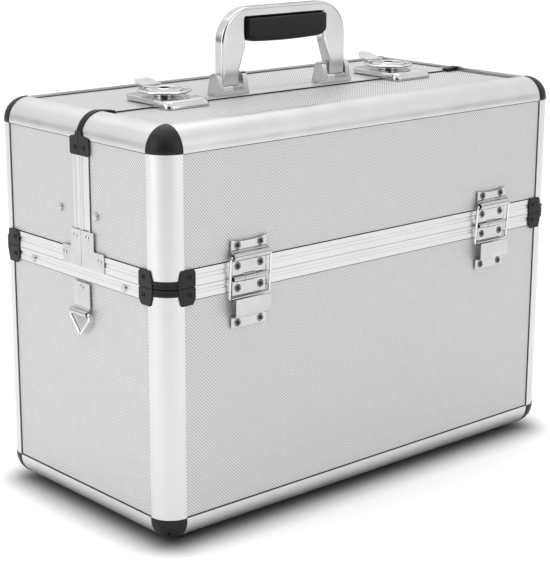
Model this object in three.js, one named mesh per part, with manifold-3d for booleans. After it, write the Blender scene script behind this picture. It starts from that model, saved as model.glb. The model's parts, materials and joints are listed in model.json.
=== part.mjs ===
// Split-top aluminium train case: a lower box with a front lid and a rear lid that open outwards
// on stop hinges, a folding handle, two twist latches and a swing-out tray in each lid.
// Millimetres, +Z up. The origin is under the middle of the case, on the surface it stands on.
import * as THREE from 'three';
import { RoundedBoxGeometry } from 'three/addons/geometries/RoundedBoxGeometry.js';
import { mergeVertices } from 'three/addons/utils/BufferGeometryUtils.js';
import Module from 'manifold-3d';

const wasm = await Module();
wasm.setup();

// ---- Driving dimensions ----
const WIDTH = 450; // along X
const DEPTH = 225; // along Y, the front face is at -Y
const FOOT_HEIGHT = 5;
const TOP = 335; // crown of the edge profiles
const PARTING = 212; // plane between the lower box and the lids
const FRONT_LID_DEPTH = 105;
const REAR_LID_DEPTH = DEPTH - FRONT_LID_DEPTH;
const GAP = 0.3; // between neighbouring pieces
const HALF_GAP = GAP / 2;

const EDGE = 19; // radius of the rounded edge profiles
const PROFILE = 2; // thickness of the edge profiles
const WALL = 7; // outer face to the inner face of the boards
const RECESS = 1.2; // boards sit this far behind the profiles
const FRONT_TOP_RECESS = 3.4;
const REAR_TOP_RECESS = 2.4;
const WEB = 1.5; // thickness of the rims over the boards' edges
const RIM_DEPTH = 8.5; // depth of the rims into the wall
const LOWER_RIM = 10.5;
const UPPER_RIM = 13.1;
const SEAM_STRIP = { front: 11.4, rear: 9.3 };
const REAR_TOP_STRIP = 15;
const BRACKET_BAND = 6; // height of the rim brackets' curved bands
const BRACKET_EAR = 14; // height of their ears
const BRACKET_REACH = 30; // reach of their ears along each face
const THIN = 1.1; // how far brackets stand proud

const HINGE_X = 142; // middle of each stop hinge
const HINGE_HALF = 18; // half width of the leaves
const KNUCKLE_HALF = 6.2; // half length of the middle knuckle
const AXIS_OUT = 2.4; // hinge axis in front of the face
const AXIS_DROP = 0.7; // hinge axis below the parting plane
const BARREL_R = 2.2;
const BARREL_BORE = 1.3;
const PIN_R = 0.9;
const LEAF = 1.2; // thickness of the leaves
const SETTLE = 0.2; // between a fitting and the face it is riveted to
const BEAD_OUT = 3.9; // middle of the keeper's rolled bead in front of the face
const BEAD_UP = 17.3; // and above the parting plane
const BEAD_R = 3.5;
const BEAD_BORE = 1.5;
const WIRE_R = 1.1;
const BAIL_HALF = 20.5;
const BAIL_DROP = 34;
const BAIL_OUT = 1.8; // bail's cross bar in front of the face
const POCKET_OUT = 7.4; // outer face of the pocket that the cross bar slides in

const TRAY_PIN_R = 1.5;
const PIN_CLEAR = 0.3;
const RIVET_R = 2.8;
const RIVET_HEAD = 0.9;
const BODY_PIVOT = [50, -6.4]; // inwards from the outer face, up from the parting plane
const LID_PIVOT = { front: [85.8, 43.8], rear: [91, 43.8] };
const ARM_ANGLE = { front: 29.06, rear: 27.68 }; // degrees above level with the lid shut
const ARM_LENGTH = { front: 50.2, rear: 63.2 }; // body pivot to the tray's inner pin
const LINK_LENGTH = { front: 53.9, rear: 45.6 }; // lid pivot to the tray's outer pin
const PINS_APART = { front: 54.5, rear: 54.7 };
const ARM_THICK = 1.6;
const ARM_HALF = 4;
const ARM_PLANE = 9.1; // arms lie this far in from the end faces
const TRAY_END = 11.3; // tray ends, in from the end faces
const TRAY_WALL = 1.6;
const TRAY_BOTTOM = 0.5; // above the parting plane
const TRAY_HEIGHT = 41;
const TRAY_START = 21; // tray's outer side, in from the outer face

const HANDLE_HALF = 70;
const HANDLE_TOP = 405;
const HANDLE_LEG = 20;
const HANDLE_BAR = 14;
const HANDLE_THICK = 10;
const HANDLE_CORNER = 30;
const HANDLE_Y = 8;
const HANDLE_PIVOT_Z = 345.5;
const BRACKET_X = 60;
const BRACKET_HALF = 16.3;
const BRACKET_DEPTH = 16;
const EAR = 5.2;
const GRIP_HALF = 42;

const LATCH_X = 130;
const LATCH_HALF = 20;
const LATCH_Y = 6; // middle of the turning disc
const LATCH_PLATE = 5;
const DISC_R = 15.6;
const WING_R = 20;
const LUG_HALF = 4.6; // half width of the lug that the wing pivots on

const RING_TAB_HALF = 10.7;
const RING_TAB_TOP = 12.5; // below the parting plane
const RING_FOLD = 37; // below the parting plane
const RING_OUT = 3.2; // ring's top bar in front of the end face
const RING_WIRE = 1.4;

const HX = WIDTH / 2;
const HY = DEPTH / 2;
const SEAM_Y = FRONT_LID_DEPTH - HY;
const MIDDLE_Z = (TOP + FOOT_HEIGHT) / 2;
const BIG = 600; // larger than the case

// ---- Geometry helpers ----
const AXES = {
  x: new THREE.Matrix4().makeBasis(
    new THREE.Vector3(0, 1, 0), new THREE.Vector3(0, 0, 1), new THREE.Vector3(1, 0, 0)),
  y: new THREE.Matrix4().makeBasis(
    new THREE.Vector3(0, 0, 1), new THREE.Vector3(1, 0, 0), new THREE.Vector3(0, 1, 0)),
  z: new THREE.Matrix4(),
};

function box(x0, x1, y0, y1, z0, z1) {
  const g = new THREE.BoxGeometry(x1 - x0, y1 - y0, z1 - z0);
  return g.translate((x0 + x1) / 2, (y0 + y1) / 2, (z0 + z1) / 2);
}

// Sweeps an outline along an axis. The outline's two coordinates run along Y and Z for axis x,
// along Z and X for axis y, and along X and Y for axis z.
function sweep(outline, axis, from, to) {
  const shape = outline instanceof THREE.Shape
    ? outline
    : new THREE.Shape(outline.map(([a, b]) => new THREE.Vector2(a, b)));
  const options = { depth: to - from, bevelEnabled: false, curveSegments: 6 };
  const g = new THREE.ExtrudeGeometry(shape, options).translate(0, 0, from);
  return g.applyMatrix4(AXES[axis]);
}

function rod(radius, axis, from, to, centre, sides = 16) {
  const g = new THREE.CylinderGeometry(radius, radius, to - from, sides);
  g.rotateX(Math.PI / 2).translate(centre[0], centre[1], (from + to) / 2);
  return g.applyMatrix4(AXES[axis]);
}

function pipe(radius, bore, axis, from, to, centre) {
  const shape = new THREE.Shape().absarc(...centre, radius, 0, Math.PI * 2, false);
  shape.holes.push(new THREE.Path().absarc(...centre, bore, 0, Math.PI * 2, true));
  return sweep(shape, axis, from, to);
}

// Copy mirrored in X or Y, with its faces turned back outwards.
function mirrored(geometry, x, y) {
  const g = (geometry.index ? geometry.toNonIndexed() : geometry.clone()).scale(x, y, 1);
  if (x * y > 0) return g;
  const p = g.getAttribute('position');
  const a = new THREE.Vector3();
  const b = new THREE.Vector3();
  for (let i = 0; i < p.count; i += 3) {
    a.fromBufferAttribute(p, i + 1);
    b.fromBufferAttribute(p, i + 2);
    p.setXYZ(i + 1, b.x, b.y, b.z);
    p.setXYZ(i + 2, a.x, a.y, a.z);
  }
  return g;
}

function merged(geometry) {
  const g = geometry.index ? geometry.toNonIndexed() : geometry.clone();
  g.deleteAttribute('normal');
  g.deleteAttribute('uv');
  return mergeVertices(g, 1e-4);
}

function solid(geometry) {
  const g = merged(geometry);
  return new wasm.Manifold(new wasm.Mesh({
    numProp: 3,
    vertProperties: new Float32Array(g.getAttribute('position').array),
    triVerts: new Uint32Array(g.index.array),
  }));
}

function fromSolid(manifold) {
  const m = manifold.getMesh();
  const g = new THREE.BufferGeometry();
  g.setAttribute('position', new THREE.BufferAttribute(new Float32Array(m.vertProperties), 3));
  g.setIndex(new THREE.BufferAttribute(new Uint32Array(m.triVerts), 1));
  return g;
}

const join = (first, ...rest) => fromSolid(rest.reduce((m, g) => m.add(solid(g)), solid(first)));
const cut = (first, ...rest) =>
  fromSolid(rest.reduce((m, g) => m.subtract(solid(g)), solid(first)));
const common = (first, second) => fromSolid(solid(first).intersect(solid(second)));

// A bent wire: round bars between the points, with a ball at each.
function wire(points, radius) {
  const pieces = points.flatMap((point, i) => {
    const a = new THREE.Vector3(...point);
    const b = new THREE.Vector3(...points[(i + 1) % points.length]);
    const bar = new THREE.CylinderGeometry(radius, radius, a.distanceTo(b), 8);
    const turn = new THREE.Quaternion().setFromUnitVectors(
      new THREE.Vector3(0, 1, 0), b.clone().sub(a).normalize());
    const middle = a.clone().add(b).multiplyScalar(0.5);
    const knot = new THREE.SphereGeometry(radius * 1.02, 8, 4).translate(...point);
    return [bar.applyQuaternion(turn).translate(middle.x, middle.y, middle.z), knot];
  });
  return join(...pieces);
}

// ---- The scene graph ----
const group = new THREE.Group();

function finish(color, roughness, metalness) {
  return () => new THREE.MeshStandardMaterial({ color, roughness, metalness });
}

const panelBoard = finish(0xd9dadb, 0.45, 0.6);
const satinAluminium = finish(0xcfd1d2, 0.35, 0.9);
const pressedSteel = finish(0xd2d2d0, 0.25, 1);
const chromedWire = finish(0xdadcde, 0.12, 1);
const blackPlastic = finish(0x1c1c1d, 0.35, 0);
const blackRubber = finish(0x151515, 0.8, 0);
const trayPlastic = finish(0x2a2a2c, 0.6, 0);

function add(name, geometry, makeMaterial) {
  const mesh = new THREE.Mesh(geometry, makeMaterial());
  mesh.name = name;
  group.add(mesh);
}

const ENDS = { left: 1, right: -1 };
const SIDES = { front: 1, rear: -1 };

// Adds the left piece and its mirror image at the right end.
function addPair(name, geometry, makeMaterial) {
  Object.entries(ENDS).forEach(([end, x]) =>
    add(`${name}_${end}`, mirrored(geometry, x, 1), makeMaterial));
}

// Adds a piece built at the front left and its images at the other three places.
function addFour(name, geometry, makeMaterial) {
  Object.entries(SIDES).forEach(([side, y]) =>
    addPair(`${name}_${side}`, mirrored(geometry, 1, y), makeMaterial));
}

// ---- Boards and profiles ----
// The whole closed case, inset from its outer faces, with rounded edges.
function caseBlock(inset, radius) {
  const height = TOP - FOOT_HEIGHT - 2 * inset;
  const g = new RoundedBoxGeometry(WIDTH - 2 * inset, DEPTH - 2 * inset, height, 4, radius);
  return g.translate(0, 0, MIDDLE_Z);
}

const outerBlock = caseBlock(0, EDGE);
const underProfiles = caseBlock(PROFILE, EDGE - PROFILE);
const boardBlock = caseBlock(PROFILE + GAP, EDGE - PROFILE - GAP);
const cavity = caseBlock(WALL, EDGE - WALL);
const rimInside = caseBlock(RIM_DEPTH, EDGE - RIM_DEPTH);
const profileShell = cut(outerBlock, underProfiles);

// Boards fill the openings that the profiles leave, level with the recess.
function boards(windows, topRecess) {
  const faces = windows.map(([x0, x1, y0, y1, z0, z1]) => box(
    Math.max(x0, -HX + RECESS), Math.min(x1, HX - RECESS),
    Math.max(y0, -HY + RECESS), Math.min(y1, HY - RECESS),
    Math.max(z0, FOOT_HEIGHT + RECESS), Math.min(z1, TOP - topRecess)));
  return cut(join(boardBlock, ...faces), cavity);
}

const inSmaller = (w, gap) => [
  w[0] + gap, w[1] - gap, w[2] + gap, w[3] - gap, w[4] + gap, w[5] - gap];

// Openings in the profile shell: one through each end and side, and one through the floor or top.
function openings(y0, y1, z0, z1, front, rear, through) {
  const list = [
    [-BIG, BIG, y0, y1, z0, z1],
    [-HX + EDGE, HX - EDGE, y0, y1, ...through],
  ];
  if (front) list.push([-HX + EDGE, HX - EDGE, -BIG, -HY + EDGE, z0, z1]);
  if (rear) list.push([-HX + EDGE, HX - EDGE, HY - EDGE, BIG, z0, z1]);
  return list;
}

function pivotHoles(ys, z) {
  return ys.flatMap((y) => [
    rod(TRAY_PIN_R + PIN_CLEAR, 'x', -HX - 2, -HX + RIM_DEPTH + 1, [y, z]),
    rod(TRAY_PIN_R + PIN_CLEAR, 'x', HX - RIM_DEPTH - 1, HX + 2, [y, z])]);
}

// ---- Lower box ----
const boxTop = PARTING - HALF_GAP;
const boxOpenings = openings(-HY + EDGE, HY - EDGE, FOOT_HEIGHT + EDGE, boxTop - LOWER_RIM,
  true, true, [-BIG, FOOT_HEIGHT + EDGE]);
const bodyPivots = pivotHoles(
  [-HY + BODY_PIVOT[0], HY - BODY_PIVOT[0]], PARTING + BODY_PIVOT[1]);
const belowRim = box(-BIG, BIG, -BIG, BIG, -BIG, boxTop - WEB - GAP);
const belowParting = box(-BIG, BIG, -BIG, BIG, -BIG, boxTop);
const boxWindows = boxOpenings.map((w) => inSmaller(w, GAP));
const rimSlab = box(-BIG, BIG, -BIG, BIG, boxTop - WEB, boxTop);
const bracketSeats = join(...[-1, 1].flatMap((x) => [-1, 1].map((y) => box(
  Math.min(x * BIG, x * (HX - EDGE)), Math.max(x * BIG, x * (HX - EDGE)),
  Math.min(y * BIG, y * (HY - EDGE)), Math.max(y * BIG, y * (HY - EDGE)),
  PARTING - BRACKET_BAND - GAP, PARTING + BRACKET_BAND + GAP))));

add('box_tub', cut(common(boards(boxWindows, RECESS), belowRim), ...bodyPivots), panelBoard);
add('box_frame', cut(
  join(
    cut(common(profileShell, belowParting), ...boxOpenings.map((w) => box(...w))),
    cut(common(outerBlock, rimSlab), rimInside)),
  bracketSeats, ...bodyPivots), satinAluminium);

// Rim corner bracket: a band round the corner with an ear on each face, built at the front left
// from the parting plane downwards (dir -1) or upwards (dir 1).
function rimBracket(dir) {
  const start = PARTING + dir * HALF_GAP;
  const slab = (h, x1, y1) => {
    const ends = [start, start + dir * h].sort((a, b) => a - b);
    return box(-HX - 3, x1, -HY - 3, y1, ...ends);
  };
  const proud = caseBlock(-THIN, EDGE + THIN);
  const skin = cut(proud, caseBlock(-SETTLE, EDGE + SETTLE));
  const reach = [-HX + BRACKET_REACH, -HY + BRACKET_REACH];
  const ears = common(skin, slab(BRACKET_EAR, ...reach));
  const notch = box(-HX - 3, -HX + EDGE - 6.5, -HY - 3, -HY + EDGE - 6.5,
    ...(dir < 0 ? [0, start - BRACKET_BAND] : [start + BRACKET_BAND, TOP]));
  const band = common(
    cut(proud, underProfiles),
    slab(BRACKET_BAND, -HX + EDGE - GAP, -HY + EDGE - GAP));
  return join(cut(ears, notch), band);
}

addFour('box_rim_bracket', rimBracket(-1), blackPlastic);
addFour('foot', new THREE.CylinderGeometry(10, 11.5, FOOT_HEIGHT - SETTLE, 20)
  .rotateX(Math.PI / 2).translate(-HX + 34, -HY + 30, (FOOT_HEIGHT - SETTLE) / 2), blackRubber);

// ---- Stop hinges, built at the front left ----
const hingeFace = -HY - SETTLE;
const axisY = -HY - AXIS_OUT;
const axisZ = PARTING - AXIS_DROP;
const beadAt = [-HY - BEAD_OUT, PARTING + BEAD_UP];

const leafPlate = (x0, x1, z0, z1) =>
  box(-HINGE_X + x0, -HINGE_X + x1, hingeFace - LEAF + SETTLE, hingeFace, z0, z1);
const knuckle = (x0, x1) =>
  pipe(BARREL_R, BARREL_BORE, 'x', -HINGE_X + x0, -HINGE_X + x1, [axisY, axisZ]);

// Lower leaf with its two knuckles, the hinge pin and the pocket that the bail slides in.
function lowerHinge() {
  const sheet = 0.9;
  const low = PARTING - 40.5;
  const floor = PARTING - 31.3;
  const pocket = [
    [hingeFace, low], [hingeFace, floor + sheet], [-HY - POCKET_OUT + sheet, floor + sheet],
    [-HY - POCKET_OUT + sheet, PARTING - 16], [-HY - POCKET_OUT, PARTING - 16],
    [-HY - POCKET_OUT, floor], [hingeFace - LEAF + SETTLE, floor],
    [hingeFace - LEAF + SETTLE, low],
  ];
  const back = box(-HINGE_X - 12, -HINGE_X + 12, hingeFace - 0.2, hingeFace,
    floor, PARTING - 13);
  const sides = [[-HINGE_HALF, -KNUCKLE_HALF - 0.2], [KNUCKLE_HALF + 0.2, HINGE_HALF]];
  return join(
    leafPlate(-HINGE_HALF, HINGE_HALF, PARTING - 14.3, axisZ - BARREL_R - 0.4),
    sweep(pocket, 'x', -HINGE_X - HINGE_HALF, -HINGE_X + HINGE_HALF),
    back,
    ...sides.map(([a, b]) => leafPlate(a, b, axisZ - BARREL_R - 1, axisZ)),
    ...sides.map(([a, b]) => knuckle(a, b)),
    rod(PIN_R, 'x', -HINGE_X - HINGE_HALF, -HINGE_X + HINGE_HALF, [axisY, axisZ]),
    ...[-1, 1].map((s) => rod(BARREL_BORE + 0.2, 'x', -HINGE_X + s * 13 - 1.5,
      -HINGE_X + s * 13 + 1.5, [axisY, axisZ])));
}

// Upper leaf with its knuckle, and the keeper plate whose rolled bead carries the bail.
function upperHinge() {
  const shape = new THREE.Shape();
  const top = PARTING + 31;
  shape.moveTo(PARTING + 12, -HINGE_X - HINGE_HALF);
  shape.lineTo(top, -HINGE_X - HINGE_HALF);
  shape.quadraticCurveTo(top - 5, -HINGE_X, top, -HINGE_X + HINGE_HALF);
  shape.lineTo(PARTING + 12, -HINGE_X + HINGE_HALF);
  const bar = [-HINGE_X - 18.6, -HINGE_X + 18.6];
  return cut(
    join(
      leafPlate(-HINGE_HALF, HINGE_HALF, axisZ + BARREL_R + 0.5, PARTING + 12.9),
      sweep(shape, 'y', hingeFace - LEAF + SETTLE, hingeFace),
      rod(BEAD_R, 'x', ...bar, beadAt),
      leafPlate(-KNUCKLE_HALF, KNUCKLE_HALF, axisZ, axisZ + BARREL_R + 1),
      knuckle(-KNUCKLE_HALF, KNUCKLE_HALF)),
    rod(BEAD_BORE, 'x', bar[0] - 1, bar[1] + 1, beadAt));
}

function bail() {
  const low = [-HY - BAIL_OUT, PARTING + BEAD_UP - BAIL_DROP];
  const left = -HINGE_X - BAIL_HALF;
  const right = -HINGE_X + BAIL_HALF;
  return wire([[left, ...beadAt], [right, ...beadAt], [right, ...low], [left, ...low]], WIRE_R);
}

addFour('lower_hinge', lowerHinge(), pressedSteel);
addFour('upper_hinge', upperHinge(), pressedSteel);
addFour('bail', bail(), chromedWire);

// ---- Carrying rings on the ends ----
const ringY = SEAM_Y + 0.5;
const ringZ = PARTING - RING_FOLD;

function ringTab() {
  const bar = [ringY - RING_TAB_HALF, ringY + RING_TAB_HALF];
  const plate = box(-HX - LEAF, -HX - SETTLE, ...bar, ringZ, PARTING - RING_TAB_TOP);
  return cut(
    join(plate, rod(3, 'y', ...bar, [ringZ, -HX - RING_OUT])),
    rod(RING_WIRE + 0.4, 'y', bar[0] - 1, bar[1] + 1, [ringZ, -HX - RING_OUT]));
}

function carryingRing() {
  const half = 12.6;
  const outline = [
    [half, 0], [half + 0.9, -2.2], [half - 0.6, -4.6], [2.6, -17], [0, -18.2],
    [-2.6, -17], [-half + 0.6, -4.6], [-half - 0.9, -2.2], [-half, 0]];
  return wire(outline.map(([y, z]) => [-HX - RING_OUT, ringY + y, ringZ + z]), RING_WIRE);
}

addPair('ring_tab', ringTab(), pressedSteel);
addPair('carrying_ring', carryingRing(), chromedWire);

// ---- Lids ----
// Each lid is built as if it were the front one, so y = -HY is its outer face, and the rear lid
// is then mirrored to the back.
function buildLid(side, depth, topRecess) {
  const place = (g) => mirrored(g, 1, SIDES[side]);
  const low = PARTING + HALF_GAP;
  const seam = -HY + depth - HALF_GAP;
  const seamStrip = SEAM_STRIP[side];
  const topSeam = side === 'rear' ? seam - REAR_TOP_STRIP : seam + 1;
  const endWindow = [-BIG, BIG, -HY + EDGE, seam - seamStrip, low + UPPER_RIM, TOP - EDGE];
  const frontWindow = [-HX + EDGE, HX - EDGE, -BIG, -HY + EDGE, low + UPPER_RIM, TOP - EDGE];
  const topWindow = [-HX + EDGE, HX - EDGE, -HY + EDGE, topSeam, TOP - EDGE, BIG];
  const windows = [endWindow, frontWindow, topWindow];
  const region = box(-BIG, BIG, -BIG, seam, low, BIG);
  const boardRegion = box(-BIG, BIG, -BIG, seam - WEB - GAP, low + WEB + GAP, BIG);
  const pivots = pivotHoles([-HY + LID_PIVOT[side][0]], PARTING + LID_PIVOT[side][1]);
  const block = box(-HX + EDGE + GAP, HX - EDGE - GAP, -HY + EDGE + GAP, BIG,
    TOP - topRecess, BIG);
  const strip = box(-HX + EDGE, HX - EDGE, topSeam, seam, TOP - topRecess - 0.4,
    TOP - topRecess + 0.4);
  const stripSeat = box(-HX + EDGE - GAP, HX - EDGE + GAP, topSeam - GAP, BIG,
    TOP - topRecess - 0.7, BIG);
  const endSeats = cut(
    box(-BIG, BIG, seam - 3.5, seam + 1, TOP - EDGE - BRACKET_EAR, BIG),
    box(-HX + EDGE, HX - EDGE, -BIG, BIG, -BIG, BIG), cavity);

  const board = boards(windows.map((w) => inSmaller(w, GAP)), topRecess);
  const boardCuts = side === 'rear' ? [block, stripSeat] : [block];
  add(`${side}_lid_cover`, place(cut(common(board, boardRegion), ...boardCuts, ...pivots)),
    panelBoard);

  const rimRing = cut(common(outerBlock, box(-BIG, BIG, -BIG, seam, low, low + WEB)), rimInside);
  const seamRing = cut(common(outerBlock, box(-BIG, BIG, seam - WEB, seam, low, TOP - topRecess)),
    rimInside);
  const shell = cut(common(profileShell, region), ...windows.map((w) => box(...w)),
    box(-HX + EDGE, HX - EDGE, topSeam - 0.1, BIG, TOP - EDGE, BIG));
  const pieces = side === 'rear' ? [rimRing, seamRing, strip] : [rimRing, seamRing];
  add(`${side}_lid_frame`, place(cut(join(shell, ...pieces), bracketSeats, endSeats, ...pivots)),
    satinAluminium);

  addPair(`${side}_lid_rim_bracket`, place(rimBracket(1)), blackPlastic);
  addPair(`${side}_lid_seam_block`, place(seamBlock(seam, seamStrip + 2.6)), blackPlastic);
}

// Black end piece of a lid's seam: a block on the end face and a strip that arches over the
// rounded top edge.
function seamBlock(seam, width) {
  const low = TOP - EDGE - BRACKET_EAR + GAP;
  const high = TOP - EDGE + 1.5;
  const skin = cut(caseBlock(-THIN, EDGE + THIN), caseBlock(-SETTLE, EDGE + SETTLE));
  const block = common(skin, box(-BIG, -HX + 5, seam - width, seam, low, high));
  const under = cut(caseBlock(-0.6, EDGE + 0.6), underProfiles);
  const strip = common(under, box(-BIG, -HX + EDGE - GAP, seam - 3.2, seam, low, BIG));
  return join(block, strip);
}

buildLid('front', FRONT_LID_DEPTH, FRONT_TOP_RECESS);
buildLid('rear', REAR_LID_DEPTH, REAR_TOP_RECESS);

// ---- Handle ----
const rearTop = TOP - REAR_TOP_RECESS + 0.4 + SETTLE; // fittings stand on the rear lid's strip

function handleFrame() {
  const inner = HANDLE_HALF - HANDLE_LEG;
  const bottom = HANDLE_PIVOT_Z - 6;
  const under = HANDLE_TOP - HANDLE_BAR;
  const bend = HANDLE_TOP - HANDLE_CORNER;
  const fillet = 8;
  const shape = new THREE.Shape();
  shape.moveTo(bottom, -HANDLE_HALF);
  shape.lineTo(bottom, -inner);
  shape.lineTo(under - fillet, -inner);
  shape.quadraticCurveTo(under, -inner, under, -inner + fillet);
  shape.lineTo(under, inner - fillet);
  shape.quadraticCurveTo(under, inner, under - fillet, inner);
  shape.lineTo(bottom, inner);
  shape.lineTo(bottom, HANDLE_HALF);
  shape.absarc(bend, HANDLE_HALF - HANDLE_CORNER, HANDLE_CORNER, Math.PI / 2, 0, true);
  shape.absarc(bend, HANDLE_CORNER - HANDLE_HALF, HANDLE_CORNER, 0, -Math.PI / 2, true);
  const arch = sweep(shape, 'y', HANDLE_Y - HANDLE_THICK / 2, HANDLE_Y + HANDLE_THICK / 2);
  const bores = [-BRACKET_X, BRACKET_X].map((x) =>
    rod(2.3, 'x', x - 14, x + 14, [HANDLE_Y, HANDLE_PIVOT_Z]));
  return cut(arch, ...bores);
}

// Grip: a soft trough clipped round the underside of the bar.
function handleGrip() {
  const half = 6.6;
  const slot = HANDLE_THICK / 2 + HALF_GAP;
  const low = HANDLE_TOP - 29;
  const high = HANDLE_TOP - 9.5;
  const under = HANDLE_TOP - HANDLE_BAR - GAP;
  const section = [
    [-half, high], [-half, low + 4], [-half + 3, low], [half - 3, low], [half, low + 4],
    [half, high], [slot, high], [slot, under], [-slot, under], [-slot, high],
  ].map(([y, z]) => [y + HANDLE_Y, z]);
  return sweep(section, 'x', -GRIP_HALF, GRIP_HALF);
}

// Clevis: two ears on a foot, with the pivot pin fixed in them.
function handleBracket() {
  const y0 = HANDLE_Y - BRACKET_DEPTH / 2;
  const y1 = HANDLE_Y + BRACKET_DEPTH / 2;
  const ear = new THREE.Shape();
  ear.moveTo(y0, rearTop);
  ear.lineTo(HANDLE_Y - 5.6, HANDLE_PIVOT_Z);
  ear.absarc(HANDLE_Y, HANDLE_PIVOT_Z, 5.6, Math.PI, 0, true);
  ear.lineTo(y1, rearTop);
  return join(
    box(-BRACKET_HALF, BRACKET_HALF, y0, y1, rearTop, rearTop + 3),
    sweep(ear, 'x', -BRACKET_HALF, -BRACKET_HALF + EAR),
    sweep(ear, 'x', BRACKET_HALF - EAR, BRACKET_HALF),
    rod(2, 'x', -BRACKET_HALF + 1, BRACKET_HALF - 1, [HANDLE_Y, HANDLE_PIVOT_Z]),
  ).translate(-BRACKET_X, 0, 0);
}

add('handle_frame', handleFrame(), satinAluminium);
add('handle_grip', handleGrip(), blackRubber);
addPair('handle_bracket', handleBracket(), satinAluminium);

// ---- Twist latches, built at the left ----
const plateTop = rearTop + LATCH_PLATE;
const discLow = plateTop + 2.6;
const discHigh = discLow + 4;
const wingLow = discLow + 0.4;
const wingPivot = [LATCH_Y + 18.2, wingLow + 1.3];

function latchBase() {
  const y0 = SEAM_Y + 0.6;
  const y1 = 35;
  const corner = 7;
  const outline = [
    [-LATCH_HALF, y0], [LATCH_HALF, y0], [LATCH_HALF, y1 - corner], [LATCH_HALF - corner, y1],
    [-LATCH_HALF + corner, y1], [-LATCH_HALF, y1 - corner],
  ];
  return cut(
    sweep(outline, 'z', rearTop, plateTop),
    rod(5.5, 'z', rearTop + 1, plateTop + 1, [0, LATCH_Y])).translate(-LATCH_X, 0, 0);
}

// Catch on the front lid, sloped down towards the seam so that it clears the wing.
function latchCatch() {
  const low = TOP - FRONT_TOP_RECESS + SETTLE;
  const seam = SEAM_Y - 0.5;
  const outline = [
    [-23, low], [-23, plateTop - 2], [-21, plateTop], [-12.5, plateTop], [seam, low + 3.4],
    [seam, low]];
  return sweep(outline, 'x', -LATCH_HALF, LATCH_HALF).translate(-LATCH_X, 0, 0);
}

// Turning disc with a key slot, on a stub shaft that sits in the base. A lug at its rear carries
// the wing's pivot.
function latchRotor() {
  const at = [0, LATCH_Y];
  const lugLow = plateTop + GAP;
  return cut(
    join(
      rod(DISC_R, 'z', discLow, discHigh, at, 32),
      rod(9, 'z', lugLow, discLow + 0.5, at, 24),
      rod(5, 'z', rearTop + 1.4, discLow + 0.5, at, 24),
      box(-LUG_HALF, LUG_HALF, LATCH_Y, wingPivot[0] + 1.9, lugLow, discLow),
      box(-LUG_HALF, LUG_HALF, wingPivot[0] - 1.9, wingPivot[0] + 1.9, lugLow, wingPivot[1]),
      rod(1.9, 'x', -LUG_HALF, LUG_HALF, wingPivot)),
    rod(1.2, 'x', -LUG_HALF - 1, LUG_HALF + 1, wingPivot),
    box(-4.5, 4.5, LATCH_Y - 1, LATCH_Y + 1, discHigh - 1.5, discHigh + 1),
  ).translate(-LATCH_X, 0, 0);
}

// Wing: a ring round the disc that pivots on the lug, with a raised finger tab behind the pivot.
function latchWing() {
  const shape = new THREE.Shape().absarc(0, LATCH_Y, WING_R, 0, Math.PI * 2, false);
  shape.holes.push(new THREE.Path().absarc(0, LATCH_Y, DISC_R + 0.8, 0, Math.PI * 2, true));
  const [y, z] = wingPivot;
  const tab = [
    [y - 1.7, wingLow], [y + 2.9, wingLow], [y + 10.5, z + 5.7], [y + 11.5, z + 8.3],
    [y + 6, z + 7.3], [y - 1.7, z + 3.2]];
  return join(
    cut(
      join(sweep(shape, 'z', wingLow, wingLow + 2.6), sweep(tab, 'x', -9.5, 9.5)),
      box(-LUG_HALF - 0.4, LUG_HALF + 0.4, y - 2.6, y + 4, wingLow - 1, z + 2.3)),
    rod(0.8, 'x', -LUG_HALF - 2, LUG_HALF + 2, wingPivot),
  ).translate(-LATCH_X, 0, 0);
}

addPair('latch_base', latchBase(), pressedSteel);
addPair('latch_catch', latchCatch(), pressedSteel);
addPair('latch_rotor', latchRotor(), pressedSteel);
addPair('latch_wing', latchWing(), pressedSteel);

// ---- Swing-out trays ----
// Flat arm in a plane parallel to the end walls. It is riveted through the wall at one end and
// has a hole for the tray's pin at the other.
function flatArm(from, to, hole) {
  const angle = new THREE.Vector2(...to).sub(new THREE.Vector2(...from)).angle();
  const shape = new THREE.Shape();
  shape.absarc(...from, ARM_HALF, angle + Math.PI / 2, angle + Math.PI * 1.5, false);
  shape.absarc(...to, Math.max(ARM_HALF, hole + 1.6), angle - Math.PI / 2,
    angle + Math.PI / 2, false);
  shape.holes.push(new THREE.Path().absarc(...to, hole, 0, Math.PI * 2, true));
  return join(
    sweep(shape, 'x', -HX + ARM_PLANE, -HX + ARM_PLANE + ARM_THICK),
    rod(TRAY_PIN_R, 'x', -HX - SETTLE - 0.5, -HX + ARM_PLANE + 1, from),
    rod(RIVET_R, 'x', -HX - SETTLE - RIVET_HEAD, -HX - SETTLE, from));
}

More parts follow.
